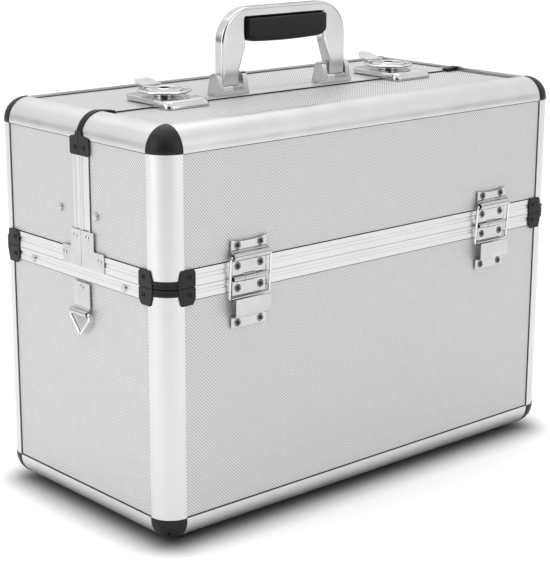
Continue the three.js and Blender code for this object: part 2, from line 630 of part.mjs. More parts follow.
function buildTray(side, depth) {
  const place = (g) => mirrored(g, 1, SIDES[side]);
  const angle = ARM_ANGLE[side] * (Math.PI / 180);
  const along = (start, length) => [
    start[0] + length * Math.cos(angle), start[1] + length * Math.sin(angle)];
  const body = [-HY + BODY_PIVOT[0], PARTING + BODY_PIVOT[1]];
  const lid = [-HY + LID_PIVOT[side][0], PARTING + LID_PIVOT[side][1]];
  const innerPin = along(body, ARM_LENGTH[side]);
  const outerPin = [innerPin[0] - PINS_APART[side], innerPin[1]];
  const linkEnd = along(lid, -LINK_LENGTH[side]);
  const snug = TRAY_PIN_R + PIN_CLEAR;
  const slack = TRAY_PIN_R + 1.2; // the link's loose end, where the linkage is left open
  const low = PARTING + TRAY_BOTTOM;
  const high = low + TRAY_HEIGHT;
  const y0 = -HY + TRAY_START;
  const y1 = -HY + depth - 2.5;
  const end = HX - TRAY_END;
  const pins = [innerPin, outerPin].flatMap((at) => [
    rod(TRAY_PIN_R, 'x', -end - ARM_THICK - 0.7, -end + 0.5, at),
    rod(TRAY_PIN_R, 'x', end - 0.5, end + ARM_THICK + 0.7, at)]);
  const shell = cut(
    box(-end, end, y0, y1, low, high),
    box(-end + TRAY_WALL, end - TRAY_WALL, y0 + TRAY_WALL, y1 - TRAY_WALL,
      low + TRAY_WALL, high + 1));
  add(`${side}_tray`, place(join(shell, ...pins)), trayPlastic);
  addPair(`${side}_tray_arm`, place(flatArm(body, innerPin, snug)), pressedSteel);
  addPair(`${side}_tray_link`, place(flatArm(lid, linkEnd, slack)), pressedSteel);
}

buildTray('front', FRONT_LID_DEPTH);
buildTray('rear', REAR_LID_DEPTH);

export default group;
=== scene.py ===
"""A split-top aluminium train case: boards in rounded edge profiles, two lids on stop hinges,
a folding handle, twist latches and a swing-out tray in each lid.

Shapes are worked out in millimetres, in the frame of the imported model, and stored in metres.
Most fittings are drawn once, at the front left, and mirrored to the other places."""
import json
import math

import bmesh
import bpy
from mathutils import Euler, Matrix, Vector


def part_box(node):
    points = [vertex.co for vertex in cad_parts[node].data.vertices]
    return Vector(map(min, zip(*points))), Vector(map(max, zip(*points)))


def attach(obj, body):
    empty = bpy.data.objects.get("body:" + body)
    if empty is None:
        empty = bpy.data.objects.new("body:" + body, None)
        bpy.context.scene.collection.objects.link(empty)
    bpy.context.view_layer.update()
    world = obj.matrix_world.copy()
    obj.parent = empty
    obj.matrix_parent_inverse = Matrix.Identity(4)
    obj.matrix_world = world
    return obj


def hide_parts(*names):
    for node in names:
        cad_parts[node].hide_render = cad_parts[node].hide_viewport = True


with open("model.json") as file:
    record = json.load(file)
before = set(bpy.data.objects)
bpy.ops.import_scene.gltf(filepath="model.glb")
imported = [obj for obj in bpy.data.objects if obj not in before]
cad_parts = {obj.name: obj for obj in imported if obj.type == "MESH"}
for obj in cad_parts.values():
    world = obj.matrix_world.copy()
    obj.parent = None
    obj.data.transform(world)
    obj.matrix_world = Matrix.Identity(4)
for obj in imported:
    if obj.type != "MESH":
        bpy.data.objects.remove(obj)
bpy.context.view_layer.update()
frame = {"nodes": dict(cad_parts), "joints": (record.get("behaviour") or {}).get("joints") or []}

MM = 0.001
ENDS = {"left": 1, "right": -1}
SIDES = {"front": 1, "rear": -1}


def limits(node):
    """Lowest and highest corner of a CAD node, in millimetres."""
    low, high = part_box(node)
    return low / MM, high / MM


def joint_centre(name):
    """A joint's place, in millimetres."""
    joint = next(j for j in frame["joints"] if j["name"] == name)
    return Vector(joint["pos_m"]) / MM


# ---- Driving dimensions ----
frame_low, frame_high = limits("box_frame")
GAP = 0.3
HX = frame_high.x
HY = frame_high.y
BASE = frame_low.z
PARTING = frame_high.z + GAP / 2
SEAM = limits("front_lid_frame")[1].y + GAP / 2
TOP = limits("front_lid_frame")[1].z
LID_DEPTH = {"front": HY + SEAM, "rear": HY - SEAM}
STRIP = {"front": 11.4, "rear": 9.3}  # width of the upright seam strips
TOP_FACE = {"front": TOP - 3.4, "rear": TOP - 2.4}  # outside of the lids' top boards
REAR_STRIP_TOP = TOP - 2

EDGE = 19  # radius of the rounded edges
LIP = 0.9
WALL = 7
RIM_DEPTH = 8.5
LOWER_RIM = 10.5
UPPER_RIM = 13.1
BAND = 6  # height of the rim brackets' curved bands
BRACKET_PROUD = 1.1  # how far the black brackets stand out from the faces
CLIP_END = 14  # where the seam brackets' clips end, past the rounded edge

HINGE_X = 142
HINGE_HALF = 18
KNUCKLE = 2.25  # radius of the hinge barrel, which just clears the rims behind it
MIDDLE_KNUCKLE = 6.2  # half its length
LEAF_OUT = 1.4  # outside of the hinge leaves, from the face
EYELET_HOLE = 1.9
BAIL_WIRE = 1.1
RING_WIRE = 1.4
RING_BEND = (RING_WIRE + 0.5, RING_WIRE + 1.6)  # inside and outside radius of the strap's fold
BARREL = joint_centre("front_lid_hinge")
BEAD = joint_centre("front_bail_pivot")
LATCH = joint_centre("latch_turn_left")
WING_PIVOT = joint_centre("wing_lift_left")
HANDLE_PIVOT = joint_centre("handle_hinge")
RING_PIVOT = joint_centre("d_ring_swing_left")


# ---- Mesh helpers ----
class Shape:
    """A mesh under construction, in millimetres."""

    def __init__(self):
        self.bm = bmesh.new()

    def faces(self, points, polygons):
        verts = [self.bm.verts.new(p) for p in points]
        for polygon in polygons:
            self.bm.faces.new([verts[i] for i in polygon])
        return self

    def box(self, x0, x1, y0, y1, z0, z1):
        return self.prism([(x0, y0), (x1, y0), (x1, y1), (x0, y1)], "z", z0, z1)

    def prism(self, outline, axis, start, end):
        """Sweeps an outline along an axis: (y, z) along x, (z, x) along y or (x, y) along z."""
        place = {
            "x": lambda a, b, t: (t, a, b),
            "y": lambda a, b, t: (b, t, a),
            "z": lambda a, b, t: (a, b, t),
        }[axis]
        n = len(outline)
        points = [place(a, b, t) for t in (start, end) for a, b in outline]
        polygons = [tuple(range(n)), tuple(range(n, 2 * n))]
        polygons += [(i, (i + 1) % n, n + (i + 1) % n, n + i) for i in range(n)]
        return self.faces(points, polygons)

    def loft(self, rings, closed=False):
        """Joins rings of equally many points, and caps the ends unless the loft is closed."""
        n = len(rings[0])
        points = [p for ring in rings for p in ring]
        spans = len(rings) if closed else len(rings) - 1
        polygons = []
        for r in range(spans):
            a, b = r * n, (r + 1) % len(rings) * n
            polygons += [(a + i, a + (i + 1) % n, b + (i + 1) % n, b + i) for i in range(n)]
        if not closed:
            last = (len(rings) - 1) * n
            polygons += [tuple(range(n)), tuple(range(last, last + n))]
        return self.faces(points, polygons)

    def lathe(self, profile, centre, direction, sides=24):
        """Turns (radius, height) points about an axis through centre."""
        turn = Vector((0, 0, 1)).rotation_difference(Vector(direction))
        rings = []
        for radius, height in profile:
            ring = []
            for i in range(sides):
                t = 2 * math.pi * i / sides
                p = Vector((max(radius, 0.01) * math.cos(t), max(radius, 0.01) * math.sin(t), height))
                ring.append(turn @ p + Vector(centre))
            rings.append(ring)
        return self.loft(rings)

    def rod(self, radius, axis, start, end, centre, sides=32):
        direction = {"x": (1, 0, 0), "y": (0, 1, 0), "z": (0, 0, 1)}[axis]
        place = {
            "x": lambda: (start, centre[0], centre[1]),
            "y": lambda: (centre[1], start, centre[0]),
            "z": lambda: (centre[0], centre[1], start),
        }[axis]
        return self.lathe([(radius, 0), (radius, end - start)], place(), direction, sides)

    def tube(self, points, radius, closed=False, sides=12):
        """A round bar along a line of points."""
        path = [Vector(p) for p in points]
        n = len(path)
        rings = []
        normal = None
        for i, p in enumerate(path):
            before = path[i - 1] if closed or i else p
            after = path[(i + 1) % n] if closed or i < n - 1 else p
            along = (after - before).normalized()
            if normal is None:
                normal = along.orthogonal().normalized()
            normal = (normal - along * normal.dot(along)).normalized()
            side = along.cross(normal)
            rings.append([
                p + radius * (normal * math.cos(t) + side * math.sin(t))
                for t in (2 * math.pi * k / sides for k in range(sides))
            ])
        return self.loft(rings, closed)

    def copy(self, sx=1, sy=1):
        """A copy, mirrored in x or y where a factor is -1."""
        other = Shape()
        other.bm = self.bm.copy()
        other.bm.transform(Matrix.Diagonal((sx, sy, 1, 1)))
        return other

    def mesh(self, name):
        bmesh.ops.remove_doubles(self.bm, verts=self.bm.verts, dist=0.005)
        bmesh.ops.recalc_face_normals(self.bm, faces=self.bm.faces)
        self.bm.transform(Matrix.Scale(MM, 4))
        mesh = bpy.data.meshes.new(name)
        self.bm.to_mesh(mesh)
        self.bm.free()
        return mesh


def arc(centre, radius, start, end, steps):
    """Points on an arc, angles in degrees."""
    angles = [math.radians(start + (end - start) * i / steps) for i in range(steps + 1)]
    return [(centre[0] + radius * math.cos(a), centre[1] + radius * math.sin(a)) for a in angles]


def rounded(corners, radius, steps=5):
    """A polygon with its corners rounded. radius is one number, or one for each corner."""
    n = len(corners)
    radii = radius if isinstance(radius, (list, tuple)) else [radius] * n
    points = []
    for i, corner in enumerate(corners):
        here = Vector(corner)
        if not radii[i]:
            points.append(tuple(here))
            continue
        to_last = (Vector(corners[i - 1]) - here).normalized()
        to_next = (Vector(corners[(i + 1) % n]) - here).normalized()
        half = to_last.angle(to_next) / 2
        reach = radii[i] / math.tan(half)
        middle = here + (to_last + to_next).normalized() * radii[i] / math.sin(half)
        a = here + to_last * reach - middle
        b = here + to_next * reach - middle
        turn = a.angle_signed(b)
        for k in range(steps + 1):
            t = -turn * k / steps
            c, s = math.cos(t), math.sin(t)
            points.append((middle.x + a.x * c - a.y * s, middle.y + a.x * s + a.y * c))
    return points


def finish_object(obj, body, material, bevel, sharp, replaces):
    obj.data.materials.clear()
    obj.data.materials.append(material)
    obj.data.polygons.foreach_set("use_smooth", [True] * len(obj.data.polygons))
    obj.data.set_sharp_from_angle(angle=math.radians(sharp))
    if bevel:
        rounding = obj.modifiers.new("edges", "BEVEL")
        rounding.width = bevel * MM
        rounding.segments = 3
        rounding.limit_method = "ANGLE"
        rounding.angle_limit = math.radians(35)
        rounding.harden_normals = True
    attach(obj, body)
    if replaces:
        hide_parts(*replaces)
    return obj


def put(name, shape, body, look, bevel=0.0, sharp=35, replaces=()):
    """Makes the shape a piece that rides on a body. look is a key of LOOKS."""
    obj = bpy.data.objects.new(name, shape.mesh(name))
    bpy.context.scene.collection.objects.link(obj)
    material, slot = LOOKS[look]
    return finish_object(obj, body, material, bevel, sharp, replaces)


def put_pair(name, shape, body, look, **options):
    """The piece drawn at the left and its mirror image at the right. {end} is filled in."""
    for end, sx in ENDS.items():
        replaced = [node.format(end=end) for node in options.get("replaces", ())]
        rest = {k: v for k, v in options.items() if k != "replaces"}
        put(name.format(end=end), shape.copy(sx), body.format(end=end), look,
            replaces=replaced, **rest)


# ---- Materials ----
GRAIN_DEPTH = 0.1 * MM
NOISE_LOW, NOISE_HIGH = 0.3, 0.7  # where nearly all of a noise texture's values lie


def new_material(name, base, metallic, roughness):
    material = bpy.data.materials.new(name)
    material.use_nodes = True
    shader = material.node_tree.nodes["Principled BSDF"]
    shader.inputs["Base Color"].default_value = (*base, 1)
    shader.inputs["Metallic"].default_value = metallic
    shader.inputs["Roughness"].default_value = roughness
    return material, material.node_tree, shader


def node(tree, kind, **values):
    made = tree.nodes.new(kind)
    for key, value in values.items():
        if key in made.inputs:
            made.inputs[key].default_value = value
        else:
            setattr(made, key, value)
    return made


def noise(tree, scale, detail=4.0):
    """Noise over the object's own coordinates."""
    place = node(tree, "ShaderNodeTexCoord")
    texture = node(tree, "ShaderNodeTexNoise", Scale=scale, Detail=detail)
    tree.links.new(place.outputs["Object"], texture.inputs["Vector"])
    return texture.outputs["Fac"]


def spread(tree, value, low, high):
    """Maps the middle range of a value onto low to high."""
    ramp = node(tree, "ShaderNodeMapRange")
    ramp.inputs["From Min"].default_value = NOISE_LOW
    ramp.inputs["From Max"].default_value = NOISE_HIGH
    ramp.inputs["To Min"].default_value = low
    ramp.inputs["To Max"].default_value = high
    tree.links.new(value, ramp.inputs["Value"])
    return ramp.outputs["Result"]


def tint(tree, value, dark, light):
    """Colours from dark to light over the middle range of a value."""
    ramp = node(tree, "ShaderNodeValToRGB")
    ramp.color_ramp.elements[0].position = NOISE_LOW
    ramp.color_ramp.elements[0].color = (*dark, 1)
    ramp.color_ramp.elements[1].position = NOISE_HIGH
    ramp.color_ramp.elements[1].color = (*light, 1)
    tree.links.new(value, ramp.inputs["Fac"])
    return ramp.outputs["Color"]


def bump(tree, shader, height, strength, distance):
    relief = node(tree, "ShaderNodeBump", Strength=strength, Distance=distance)
    tree.links.new(height, relief.inputs["Height"])
    tree.links.new(relief.outputs["Normal"], shader.inputs["Normal"])


def metal(name, dark, light, roughness, grain=900.0, relief=0.08):
    """Metal, cloudy in colour and roughness over centimetres, with a fine grain."""
    material, tree, shader = new_material(name, light, 1.0, roughness)
    fine = noise(tree, grain, 5.0)
    broad = noise(tree, 35.0, 3.0)
    tree.links.new(tint(tree, broad, dark, light), shader.inputs["Base Color"])
    tree.links.new(spread(tree, broad, roughness * 0.9, roughness * 1.12), shader.inputs["Roughness"])
    bump(tree, shader, fine, relief, GRAIN_DEPTH)
    return material


def plastic(name, dark, light, roughness, grain=2500.0, relief=0.15):
    """Plastic, rubber or cloth with a fine grain and little shine."""
    material, tree, shader = new_material(name, light, 0.0, roughness)
    fine = noise(tree, grain, 3.0)
    broad = noise(tree, 60.0, 3.0)
    tree.links.new(tint(tree, broad, dark, light), shader.inputs["Base Color"])
    tree.links.new(spread(tree, broad, roughness * 0.85, roughness * 1.15), shader.inputs["Roughness"])
    bump(tree, shader, fine, relief, GRAIN_DEPTH)
    shader.inputs["Specular IOR Level"].default_value = 0.3
    return material


def board_material():
    """Silver laminate with rows of small raised diamonds, whichever way a face points."""
    pitch = 2.8 * MM
    material, tree, shader = new_material("diamond_board", (0.6, 0.6, 0.61), 0.3, 0.42)
    place = node(tree, "ShaderNodeTexCoord")
    xyz = node(tree, "ShaderNodeSeparateXYZ")
    tree.links.new(place.outputs["Object"], xyz.inputs["Vector"])
    facing = node(tree, "ShaderNodeSeparateXYZ")
    tree.links.new(place.outputs["Normal"], facing.inputs["Vector"])

    def maths(operation, a, b=None):
        step = node(tree, "ShaderNodeMath", operation=operation)
        for socket, value in zip(step.inputs, (a, b)):
            if value is None:
                continue
            if isinstance(value, (int, float)):
                socket.default_value = value
            else:
                tree.links.new(value, socket)
        return step.outputs["Value"]

    def mostly(axis):
        return maths("GREATER_THAN", maths("ABSOLUTE", facing.outputs[axis]), 0.7)

    def pick(choice, yes, no):
        return maths("ADD", maths("MULTIPLY", choice, yes),
                     maths("MULTIPLY", maths("SUBTRACT", 1, choice), no))

    along = pick(mostly("X"), xyz.outputs["Y"], xyz.outputs["X"])
    across = pick(mostly("Z"), xyz.outputs["Y"], xyz.outputs["Z"])
    waves = [maths("SINE", maths("MULTIPLY", way, 2 * math.pi / pitch)) for way in (along, across)]
    height = maths("ADD", maths("MULTIPLY", maths("MULTIPLY", *waves), 0.5), 0.5)
    colour = tint(tree, height, (0.38, 0.38, 0.385), (0.71, 0.71, 0.715))
    tree.links.new(colour, shader.inputs["Base Color"])
    tree.links.new(spread(tree, noise(tree, 90.0), 0.36, 0.5), shader.inputs["Roughness"])
    bump(tree, shader, height, 0.5, 0.0003)
    return material


LOOKS = {
    "board": (board_material(), "board"),
    "profile": (metal("satin_aluminium", (0.63, 0.63, 0.64), (0.67, 0.67, 0.68), 0.36,
                      grain=700.0, relief=0.01), "profile"),
    "steel": (metal("pressed_steel", (0.48, 0.48, 0.475), (0.57, 0.57, 0.565), 0.13,
                    relief=0.02), "steel"),
    "rivet": (metal("rivet_steel", (0.20, 0.20, 0.20), (0.32, 0.32, 0.32), 0.2,
                    relief=0.02), "steel"),
    "wire": (metal("polished_wire", (0.60, 0.60, 0.60), (0.74, 0.74, 0.74), 0.1), "wire"),
    "cast": (metal("handle_alloy", (0.58, 0.58, 0.58), (0.66, 0.66, 0.66), 0.14,
                   relief=0.01), "handle_metal"),
    "black": (plastic("black_plastic", (0.003, 0.003, 0.003), (0.007, 0.007, 0.008), 0.4,
                      relief=0.08), "black_plastic"),
    "rubber": (plastic("black_rubber", (0.004, 0.004, 0.004), (0.009, 0.009, 0.009), 0.55,
                       relief=0.3), "rubber"),
    "tray": (plastic("tray_plastic", (0.016, 0.016, 0.018), (0.03, 0.03, 0.033), 0.5,
                     relief=0.35), "tray"),
    "liner": (plastic("liner_fabric", (0.012, 0.012, 0.014), (0.028, 0.028, 0.03), 0.85,
                      grain=1200.0, relief=0.8), "tray"),
}


# ---- Rounded edges and rims ----
def case_ring(inset):
    """Corners of the case's outline seen from above, going round it."""
    radius = EDGE - inset
    centres = [(-HX + EDGE, -HY + EDGE, 180), (HX - EDGE, -HY + EDGE, 270),
               (HX - EDGE, HY - EDGE, 0), (-HX + EDGE, HY - EDGE, 90)]
    return [p for x, y, a in centres for p in arc((x, y), radius, a, a + 90, 10)]


def lid_ring(inset, depth):
    """A lid's outline seen from above, from its seam round the front to its seam again."""
    radius = EDGE - inset
    seam = -HY + depth - GAP / 2
    return [(-HX + inset, seam),
            *arc((-HX + EDGE, -HY + EDGE), radius, 180, 270, 10),
            *arc((HX - EDGE, -HY + EDGE), radius, 270, 360, 10),
            (HX - inset, seam)]


def rim(outline, ring, closed):
    """Sweeps (inset, height) points round the case or a lid."""
    tracks = [[(x, y, z) for x, y in ring(inset)] for inset, z in outline]
    return Shape().loft([list(section) for section in zip(*tracks)], closed)


def edge_outline(centre, signs):
    """Section of a rounded edge profile with a lip at each side."""
    def point(a, b):
        return (centre[0] + signs[0] * a, centre[1] + signs[1] * b)

    outer = [point(x, y) for x, y in arc((0, 0), EDGE, 0, 90, 14)]
    inner = [point(x, y) for x, y in arc((0, 0), EDGE - 2, 90, 0, 14)]
    return [point(EDGE, -LIP), *outer, point(-LIP, EDGE), point(-LIP, EDGE - 1),
            point(0, EDGE - 1), *inner, point(EDGE - 1, 0), point(EDGE - 1, -LIP)]


def corner_cap(y, z, sy, sz):
    """Ball corner: an eighth of a sphere that laps over the three profiles. Left end."""
    lap = 1.0
    radius = EDGE + 0.4
    steps = [-1] + [i / 8 for i in range(9)]
    n = len(steps)
    cap = Shape()
    for face in range(3):
        points = []
        for a in steps:
            for b in steps:
                flat = [0, 0, 0]
                flat[face] = 1
                flat[(face + 1) % 3] = math.tan(max(a, 0) * math.pi / 4)
                flat[(face + 2) % 3] = math.tan(max(b, 0) * math.pi / 4)
                p = Vector(flat).normalized() * radius
                p[(face + 1) % 3] += min(a, 0) * lap
                p[(face + 2) % 3] += min(b, 0) * lap
                points.append((-HX + EDGE - p.x, y + sy * p.y, z + sz * p.z))
        cap.faces(points, [(i * n + j, i * n + j + 1, (i + 1) * n + j + 1, (i + 1) * n + j)
                           for i in range(n - 1) for j in range(n - 1)])
    return cap


def put_cap(name, cap, body):
    """Thickens a cap's outer skin inwards."""
    for end, sx in ENDS.items():
        obj = put(f"{name}_{end}", cap.copy(sx), body, "black", sharp=50)
        skin = obj.modifiers.new("thickness", "SOLIDIFY")
        skin.thickness = 1.8 * MM
        skin.offset = -1
        skin.use_even_offset = True


def lower_profiles():
    low, high = BASE + EDGE, PARTING - BAND - GAP
    for side, sy in SIDES.items():
        upright = Shape().prism(edge_outline((-HX + EDGE, -HY + EDGE), (-1, -1)), "z", low, high)
        put_pair(f"box_{side}_upright_profile_{{end}}", upright.copy(1, sy), "case", "profile")
        foot = Shape().prism(edge_outline((-HY + EDGE, BASE + EDGE), (-1, -1)), "x",
                             -HX + EDGE, HX - EDGE)
        put(f"box_{side}_bottom_profile", foot.copy(1, sy), "case", "profile")
        put_cap(f"box_{side}_corner_cap", corner_cap(-sy * (HY - EDGE), low, -sy, -1), "case")
    end = Shape().prism(edge_outline((BASE + EDGE, -HX + EDGE), (-1, -1)), "y",
                        -HY + EDGE, HY - EDGE)
    put_pair("box_{end}_bottom_profile", end, "case", "profile")
    z = PARTING - GAP / 2
    outline = [(0, z), (RIM_DEPTH, z), (RIM_DEPTH, z - 1.5), (1.5, z - 1.5),
               (1.5, z - LOWER_RIM + 0.2), (0, z - LOWER_RIM + 0.2), (0, z - 6), (0.45, z - 5.4),
               (0.45, z - 3.4), (0, z - 2.8)]
    put("box_rim", rim(outline, case_ring, True), "case", "profile", sharp=25,
        replaces=["box_frame"])


def lid_profiles(side):
    sy = SIDES[side]
    body = f"{side}_lid"
    depth = LID_DEPTH[side]
    seam = -HY + depth - GAP / 2
    low, high = PARTING + BAND + GAP, TOP - EDGE
    strip = STRIP[side]
    upright = Shape().prism(edge_outline((-HX + EDGE, -HY + EDGE), (-1, -1)), "z", low, high)
    put_pair(f"{side}_lid_upright_profile_{{end}}", upright.copy(1, sy), body, "profile")
    crest = Shape().prism(edge_outline((-HY + EDGE, TOP - EDGE), (-1, 1)), "x",
                          -HX + EDGE, HX - EDGE)
    put(f"{side}_lid_top_profile", crest.copy(1, sy), body, "profile")
    end = Shape().prism(edge_outline((TOP - EDGE, -HX + EDGE), (1, -1)), "y",
                        -HY + EDGE, seam - 3.6)
    put_pair(f"{side}_lid_{{end}}_profile", end.copy(1, sy), body, "profile")
    put_cap(f"{side}_lid_corner_cap", corner_cap(-sy * (HY - EDGE), high, -sy, 1), body)

    z = PARTING + GAP / 2
    outline = [(0, z), (0, z + 5.2), (0.5, z + 5.9), (0.5, z + 8.3), (0, z + 9), (0, z + UPPER_RIM),
               (1.5, z + UPPER_RIM), (1.5, z + 1.5), (RIM_DEPTH, z + 1.5), (RIM_DEPTH, z)]
    put(f"{side}_lid_rim", rim(outline, lambda inset: lid_ring(inset, depth), False).copy(1, sy),
        body, "profile", sharp=25, replaces=[f"{side}_lid_frame"])

    # Upright seam strip with a sunk channel, and the lid's edge along the top of the seam.
    section = [(-HX, seam), (-HX, seam - 2), (-HX + 0.7, seam - 2.5), (-HX + 0.7, seam - strip + 2.6),
               (-HX, seam - strip + 2.1), (-HX, seam - strip), (-HX + 1.5, seam - strip),
               (-HX + 1.5, seam - 1.5), (-HX + RIM_DEPTH, seam - 1.5), (-HX + RIM_DEPTH, seam)]
    post = Shape().prism(section, "z", z + UPPER_RIM, TOP - EDGE)
    put_pair(f"{side}_lid_seam_strip_{{end}}", post.copy(1, sy), body, "profile", sharp=25)
    top = REAR_STRIP_TOP if side == "rear" else TOP_FACE[side] + 0.2
    reach = 15 if side == "rear" else 1.5
    cross = Shape().prism(
        [(seam, top - 8), (seam, top), (seam - reach, top), (seam - reach, top - 0.8),
         (seam - 1.5, top - 0.8), (seam - 1.5, top - 8)], "x", -HX + EDGE + 1, HX - EDGE - 1)
    put(f"{side}_lid_seam_rail", cross.copy(1, sy), body, "profile", bevel=0.15)


lower_profiles()
for lid_side in SIDES:
    lid_profiles(lid_side)


# ---- Black rim brackets ----
def corner_track(inset, reach):
    """From one ear round the front-left corner to the other ear, seen from above."""
    return [(-HX + inset, -HY + reach), *arc((-HX + EDGE, -HY + EDGE), EDGE - inset, 180, 270, 14),
            (-HX + reach, -HY + inset)]


def rim_bracket(up):
    """Ribbed band round the corner with an ear on each face. up is 1 on a lid, -1 on the box."""
    start = PARTING + up * GAP / 2
    proud = BRACKET_PROUD

    def z(height):
        return start + up * height

    groove = -proud + 0.5
    band = [(1.8, z(0)), (groove, z(0)), (-proud, z(0.6)), (-proud, z(1.8)), (groove, z(2.3)),
            (groove, z(3.0)), (-proud, z(3.6)), (-proud, z(5.0)), (-proud + 0.7, z(BAND - 0.1)),
            (1.8, z(BAND - 0.1))]
    shape = rim(band, lambda inset: corner_track(inset, EDGE), False)
    tip = 13.8
    slope = 2.5 if up > 0 else 4.5
    ear = rounded([(30, z(0)), (30, z(tip - slope)), (30 - slope * 0.6, z(tip)), (16, z(tip)),
                   (14.2, z(BAND + 1)), (13, z(0))], [1, 2, 2, 1.5, 1.5, 0])
    low, high = -proud, -0.1
    shape.prism([(-HY + t, h) for t, h in ear], "x", -HX + low, -HX + high)
    shape.prism([(h, -HX + t) for t, h in ear], "y", -HY + low, -HY + high)
    return shape


def black_screw(centre, direction):
    """Small pan-head screw with a sunk drive."""
    return Shape().lathe([(0, -0.4), (2.3, -0.4), (2.3, 0.25), (1.9, 0.6), (1.1, 0.7), (0.9, 0.15),
                          (0, 0.1)], centre, direction)


def put_rim_brackets():
    for level, up, height in (("box", -1, -6.4), ("lid", 1, 7.9)):
        shape = rim_bracket(up)
        for side, sy in SIDES.items():
            body = "case" if level == "box" else f"{side}_lid"
            old = (f"box_rim_bracket_{side}_{{end}}" if level == "box"
                   else f"{side}_lid_rim_bracket_{{end}}")
            put_pair(f"{level}_bracket_{side}_{{end}}", shape.copy(1, sy), body, "black",
                     bevel=0.25, replaces=[old])
            screws = {"face": black_screw((-HX + 24.5, -HY - BRACKET_PROUD, PARTING + height),
                                          (0, -1, 0)),
                      "end": black_screw((-HX - BRACKET_PROUD, -HY + 24.5, PARTING + height),
                                         (-1, 0, 0))}
            for where, screw in screws.items():
                put_pair(f"{level}_bracket_screw_{where}_{side}_{{end}}", screw.copy(1, sy), body,
                         "black")


put_rim_brackets()


# ---- Black seam brackets over the lids' end edges ----
def seam_bracket(side):
    """Plate on the lid's end face, and an arch over the edge that ends in a small clip."""
    seam = -HY + LID_DEPTH[side] - GAP / 2
    width = STRIP[side] + 2.4
    low, high = TOP - EDGE - 14, TOP - EDGE + 2.4
    plate = rounded([(seam, low), (seam, high + 3), (seam - 3.4, high + 3), (seam - 4.6, high - 0.6),
                     (seam - width + 1, high - 2), (seam - width, high - 4), (seam - width, low + 1),
                     (seam - width + 2, low)], [0, 0, 0, 1, 2, 1.5, 1.5, 1])
    shape = Shape().prism(plate, "x", -HX - BRACKET_PROUD, -HX - 0.1)
    arch = []
    for inset in (-0.6, 1.9):
        radius = EDGE - inset
        arch.append([(-HX + inset, TOP - EDGE - 6),
                     *arc((-HX + EDGE, TOP - EDGE), radius, 180, 90, 14),
                     (-HX + EDGE + CLIP_END, TOP - 1.4 - inset)])
    edge = seam - 3.2
    shape.loft([[(a[0], seam, a[1]), (a[0], edge, a[1]), (b[0], edge, b[1]), (b[0], seam, b[1])]
                for a, b in zip(*arch)])
    return shape.box(-HX + EDGE + CLIP_END - 5, -HX + EDGE + CLIP_END, seam - 4.6, edge,
                     TOP - 2.9, TOP - 1.7)


for lid_side, lid_sy in SIDES.items():
    put_pair(f"{lid_side}_seam_bracket_{{end}}", seam_bracket(lid_side).copy(1, lid_sy),
             f"{lid_side}_lid", "black", bevel=0.25,
             replaces=[f"{lid_side}_lid_seam_block_{{end}}"])
    screw_y = -HY + LID_DEPTH[lid_side] - STRIP[lid_side] / 2 - 0.6
    put_pair(f"{lid_side}_seam_screw_{{end}}",
             black_screw((-HX - BRACKET_PROUD, screw_y, TOP - EDGE - 8), (-1, 0, 0)).copy(1, lid_sy),
             f"{lid_side}_lid", "black")


# ---- Rivets and flat plates ----
def dome_rivet(centre, direction, radius=2.8, height=1.0, skirt=0.3):
    """Rivet head. Its skirt goes down to the face that it sits on."""
    profile = [(0, -skirt), (radius, -skirt), (radius, 0.12), (0.92 * radius, 0.42 * height),
               (0.68 * radius, 0.78 * height), (0.35 * radius, 0.96 * height), (0, height)]
    return Shape().lathe(profile, centre, direction)


def eyelet(centre, direction, radius=3.3):
    """Tubular rivet with a sunk middle."""
    profile = [(0, -0.3), (radius, -0.3), (radius, 0.2), (0.93 * radius, 0.5), (0.8 * radius, 0.6),
               (0.72 * radius, 0.45), (0.66 * radius, 0.06), (0, 0.04)]
    return Shape().lathe(profile, centre, direction)


def eyelet_hole_shade(centre, direction):
    """Dark disc in the sunk middle of an eyelet: painted shade of its hole."""
    profile = [(0, 0), (EYELET_HOLE, 0), (EYELET_HOLE, 0.12), (0, 0.12)]
    return Shape().lathe(profile, centre, direction)


def angle_plate(side):
    """L-shaped plate that ties a lid's seam strip to its rim."""
    seam = -HY + LID_DEPTH[side] - GAP / 2
    foot = {"front": 30.2, "rear": 25.1}[side]
    post = {"front": 16.8, "rear": 14.2}[side]
    z = PARTING + GAP / 2
    outline = rounded([(seam, z), (seam, z + 30), (seam - post, z + 30), (seam - post, z + 15),
                       (seam - foot, z + 15), (seam - foot, z)], [0, 0.6, 1, 0.8, 1, 0.6], 3)
    return Shape().prism(outline, "x", -HX - 0.9, -HX - 0.05)


PLATE_RIVETS = {"front": [(8.4, 24.3), (24.6, 8.1)], "rear": [(7.6, 23.9), (22.6, 8.0)]}
for lid_side, lid_sy in SIDES.items():
    put_pair(f"{lid_side}_angle_plate_{{end}}", angle_plate(lid_side).copy(1, lid_sy),
             f"{lid_side}_lid", "steel", bevel=0.15)
    for count, (away, up) in enumerate(PLATE_RIVETS[lid_side]):
        at = (-HX - 0.9, -HY + LID_DEPTH[lid_side] - away, PARTING + up)
        put_pair(f"{lid_side}_angle_plate_rivet_{count}_{{end}}",
                 dome_rivet(at, (-1, 0, 0)).copy(1, lid_sy), f"{lid_side}_lid", "steel")


# ---- Stop hinges ----
def hinge_face(points):
    """Turns (out from the face, up from the parting plane) into (y, z)."""
    return [(-HY - out, PARTING + up) for out, up in points]


